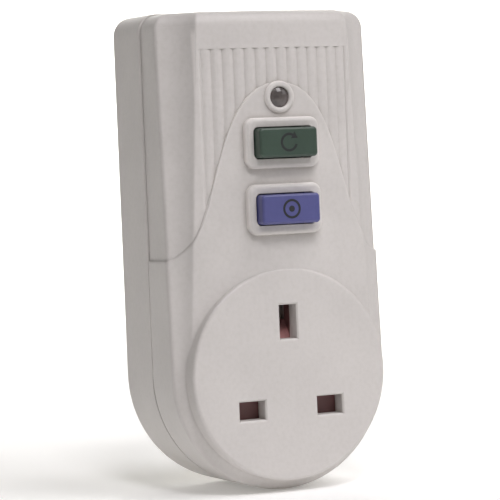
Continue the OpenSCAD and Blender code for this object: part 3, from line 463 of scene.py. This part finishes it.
def new_piece(name, mesh, material, body=None):
    """Piece made from a bmesh, riding on a body where one is named."""
    bmesh.ops.recalc_face_normals(mesh, faces=mesh.faces)
    data = bpy.data.meshes.new(name)
    mesh.to_mesh(data)
    mesh.free()
    data.materials.append(material)
    obj = bpy.data.objects.new(name, data)
    scene.collection.objects.link(obj)
    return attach(obj, body) if body else obj


def join(mesh, front, back):
    """Faces between two closed loops of as many points."""
    for i in range(len(front)):
        j = (i + 1) % len(front)
        mesh.faces.new((front[j], front[i], back[i], back[j]))


INK_PROUD, INK_SUNK = 0.00004, 0.00003


def mark(name, loops, rings, node, body):
    """Thin printed mark in the middle of a button's front face, from loops and rings in millimetres."""
    low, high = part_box(node)
    front_y, back_y = low.y - INK_PROUD, low.y + INK_SUNK
    mesh = bmesh.new()

    def put(loop):
        points = [((low.x + high.x) / 2 + x / 1000, (low.z + high.z) / 2 + z / 1000) for x, z in loop]
        return [[mesh.verts.new((x, y, z)) for x, z in points] for y in (front_y, back_y)]

    for loop in loops:
        front, back = put(loop)
        mesh.faces.new(front)
        mesh.faces.new(back[::-1])
        join(mesh, front, back)
    for outer, inner in rings:
        (outer_front, outer_back), (inner_front, inner_back) = put(circle(outer)), put(circle(inner))
        join(mesh, outer_front, inner_front)
        join(mesh, inner_back, outer_back)
        join(mesh, outer_back, outer_front)
        join(mesh, inner_front, inner_back)
    return new_piece(name, mesh, INK, body)


mark("reset_mark", [turning_arrow(2.1, 0.62, 60, 345, 2.0, 1.6)], [], "reset_button", "reset_press_body")
mark("test_mark", [circle(0.8)], [(2.5, 1.9)], "test_button", "test_press_body")


# Crown of the front cover in metres, and the flank's section in millimetres along it and below it
CROWN_AXIS_Y, CROWN_R = 0.0685, 0.1056
FLANK_LOW_Z, FLANK_HIGH_Z = 0.0308, 0.08455
FLANK_START, FLANK_W, FLANK_DEPTH, FLANK_SKIN, FLANK_FOOT = 20.60, 0.48, 0.208, 0.004, 0.55
FLANK_STEPS = 6


def rib_end_flank(name, side):
    """Soft outer flank of the groove at one end of the ribs, sunk into the cover below."""
    section = []
    for i in range(FLANK_STEPS + 1):
        share = i / FLANK_STEPS
        section.append((FLANK_START + FLANK_W * share, FLANK_DEPTH * (1 - share) ** 2 + FLANK_SKIN))
    section += [(FLANK_START + FLANK_W, FLANK_FOOT), (FLANK_START, FLANK_FOOT)]
    mesh = bmesh.new()
    ends = []
    for z in (FLANK_LOW_Z, FLANK_HIGH_Z):
        ends.append([])
        for along, depth in section:
            a, r = side * along / 1000 / CROWN_R, CROWN_R - depth / 1000
            ends[-1].append(mesh.verts.new((r * math.sin(a), CROWN_AXIS_Y - r * math.cos(a), z)))
    mesh.faces.new(ends[0])
    mesh.faces.new(ends[1][::-1])
    join(mesh, *ends)
    return new_piece(name, mesh, LOOKS["shell"], "housing")


rib_end_flank("rib_end_left", -1)
rib_end_flank("rib_end_right", 1)

RINGS_PER_TURN, WIRE_SIDES = 24, 10


def spring(name, node, wire, turns, along, second):
    """Wound wire spring in a node's place, riding on the housing."""
    low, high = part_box(node)
    middle = (low + high) / 2
    r = (high.x - low.x - wire) / 2
    start, end = low.dot(along) + wire / 2, high.dot(along) - wire / 2
    count = round(turns * RINGS_PER_TURN)
    section = circle(wire / 2, WIRE_SIDES)
    mesh = bmesh.new()
    rings = []
    for i in range(count + 1):
        a = 2 * math.pi * i / RINGS_PER_TURN
        out = math.cos(a) * X + math.sin(a) * second
        centre = middle + r * out + along * (start + (end - start) * i / count - middle.dot(along))
        rings.append([mesh.verts.new(centre + u * out + v * along) for u, v in section])
    for first, following in zip(rings, rings[1:]):
        join(mesh, first, following)
    for face in mesh.faces:
        face.smooth = True
    mesh.faces.new(rings[0])
    mesh.faces.new(rings[-1])
    obj = new_piece(name, mesh, LOOKS["steel"], "housing")
    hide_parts(node)
    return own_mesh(obj)


spring("carriage_coil_spring", "carriage_spring", 0.0007, 4.5, Y, Z)
spring("shutter_coil_spring", "shutter_spring", 0.0004, 6, Z, Y)

LEAF_STEPS = 20


def bending_leaf(name, node, thick, leg):
    """Spring leaf on a bent leg, in the place of the node it stands for."""
    low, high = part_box(node)
    heights = [low.z + (high.z - leg - low.z) * i / LEAF_STEPS for i in range(LEAF_STEPS + 1)]
    foot = [(low.y, high.z), (high.y, high.z), (high.y, high.z - leg)]
    mesh = bmesh.new()
    sides = []
    for x in (low.x, high.x):
        front = [mesh.verts.new((x, low.y, z)) for z in heights]
        back = [mesh.verts.new((x, low.y + thick, z)) for z in heights]
        bend = [mesh.verts.new((x, y, z)) for y, z in foot]
        for i in range(LEAF_STEPS):
            mesh.faces.new((front[i], front[i + 1], back[i + 1], back[i]))
        mesh.faces.new([front[-1], *bend, back[-1]])
        sides.append(front + bend + back[::-1])
    join(mesh, *sides)
    obj = new_piece(name, mesh, LOOKS["brass"])
    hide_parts(node)
    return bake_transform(obj)


bending_leaf("test_leaf_spring", "test_contact_leaf", 0.00038, 0.0006)

# Studio sheet, in metres
SHEET_GAP, SHEET_FRONT_Y, SHEET_BACK_Y, SHEET_BEND_R = 0.0004, -2.5, 1.3, 0.5
SHEET_HALF_W, SHEET_H, SHEET_STEPS = 2.6, 2.2, 12


def studio_sheet():
    """Pale floor that curves up behind the part."""
    floor_z, bend_y = cad_box[0].z - SHEET_GAP, SHEET_BACK_Y - SHEET_BEND_R
    section = [(SHEET_FRONT_Y, floor_z), (bend_y, floor_z)]
    for i in range(1, SHEET_STEPS + 1):
        a = math.radians(90 * i / SHEET_STEPS)
        y, z = bend_y + SHEET_BEND_R * math.sin(a), floor_z + SHEET_BEND_R - SHEET_BEND_R * math.cos(a)
        section.append((y, z))
    section.append((SHEET_BACK_Y, floor_z + SHEET_H))
    mesh = bmesh.new()
    left, right = [[mesh.verts.new((x, y, z)) for y, z in section] for x in (-SHEET_HALF_W, SHEET_HALF_W)]
    for i in range(len(section) - 1):
        mesh.faces.new((left[i], right[i], right[i + 1], left[i + 1])).smooth = True
    data = bpy.data.meshes.new("studio_sheet")
    mesh.to_mesh(data)
    mesh.free()
    n = Nodes("studio_paper")
    n.colour(n.ramp(n.noise(9, 2.0), [(0.3, shade(WHITE, 0.90)), (0.7, shade(WHITE, 0.94))]))
    n.set(Roughness=0.9, Emission_Color=(1.0, 0.98, 0.94, 1.0), Emission_Strength=0.2)
    data.materials.append(n.material)
    obj = bpy.data.objects.new("studio_sheet", data)
    scene.collection.objects.link(obj)
    return obj


studio_sheet()


def area_light(name, at, towards, size, watts, colour, spread):
    """Rectangular light with a spread in degrees."""
    data = bpy.data.lights.new(name, "AREA")
    data.shape = "RECTANGLE"
    data.size, data.size_y = size
    data.energy = watts
    data.color = colour
    data.spread = math.radians(spread)
    obj = bpy.data.objects.new(name, data)
    obj.location = at
    obj.rotation_euler = (Vector(towards) - Vector(at)).to_track_quat("-Z", "Y").to_euler()
    scene.collection.objects.link(obj)


MIDDLE = (0.0, -0.02, 0.035)
WASH_AT, WASH_TOWARDS = (0.62, 0.75, 0.9), (0.62, 1.3, 0.3)
ROSE = (1.0, 0.977, 0.99)
KEY_SPREAD, OPEN_SPREAD = 70, 180
area_light("key_left", (-0.26, -0.98, 1.15), MIDDLE, (0.3, 0.3), 1.035, ROSE, KEY_SPREAD)
area_light("key_right", (0.45, -0.95, 1.0), MIDDLE, (0.6, 0.6), 0.845, (1.0, 0.977, 0.995), KEY_SPREAD)
area_light("far_right", (0.95, -0.65, 0.55), MIDDLE, (0.5, 0.5), 0.12, ROSE, KEY_SPREAD)
area_light("high_right", (0.45, -0.45, 1.35), MIDDLE, (0.6, 0.6), 0.92, ROSE, KEY_SPREAD)
area_light("backdrop_wash", WASH_AT, WASH_TOWARDS, (0.5, 0.3), 14.7, (1.0, 0.985, 0.93), OPEN_SPREAD)

# Pale surroundings, seen in reflections but giving no light of their own to matt faces
world = bpy.data.worlds.new("studio_air")
world.use_nodes = True
background = world.node_tree.nodes["Background"]
background.inputs["Color"].default_value = (1.0, 0.985, 0.95, 1.0)
background.inputs["Strength"].default_value = 0.25
world.cycles_visibility.diffuse = False
scene.world = world

CAMERA_AT = (-0.2962, -0.6405, 0.0576)
CAMERA_RIGHT = Vector((0.9020, -0.4298, -0.0410))
CAMERA_UP = Vector((0.0529, 0.0158, 0.9985))
CAMERA_FORWARD = Vector((0.4285, 0.9028, -0.0370))
camera = bpy.data.objects.new("camera", bpy.data.cameras.new("camera"))
scene.collection.objects.link(camera)
camera.data.sensor_width = 36.0
camera.data.lens = 188.3
camera.data.clip_start = 0.01
turn = Matrix((CAMERA_RIGHT, CAMERA_UP, -CAMERA_FORWARD)).transposed()
camera.matrix_world = Matrix.Translation(CAMERA_AT) @ turn.to_4x4()
scene.camera = camera
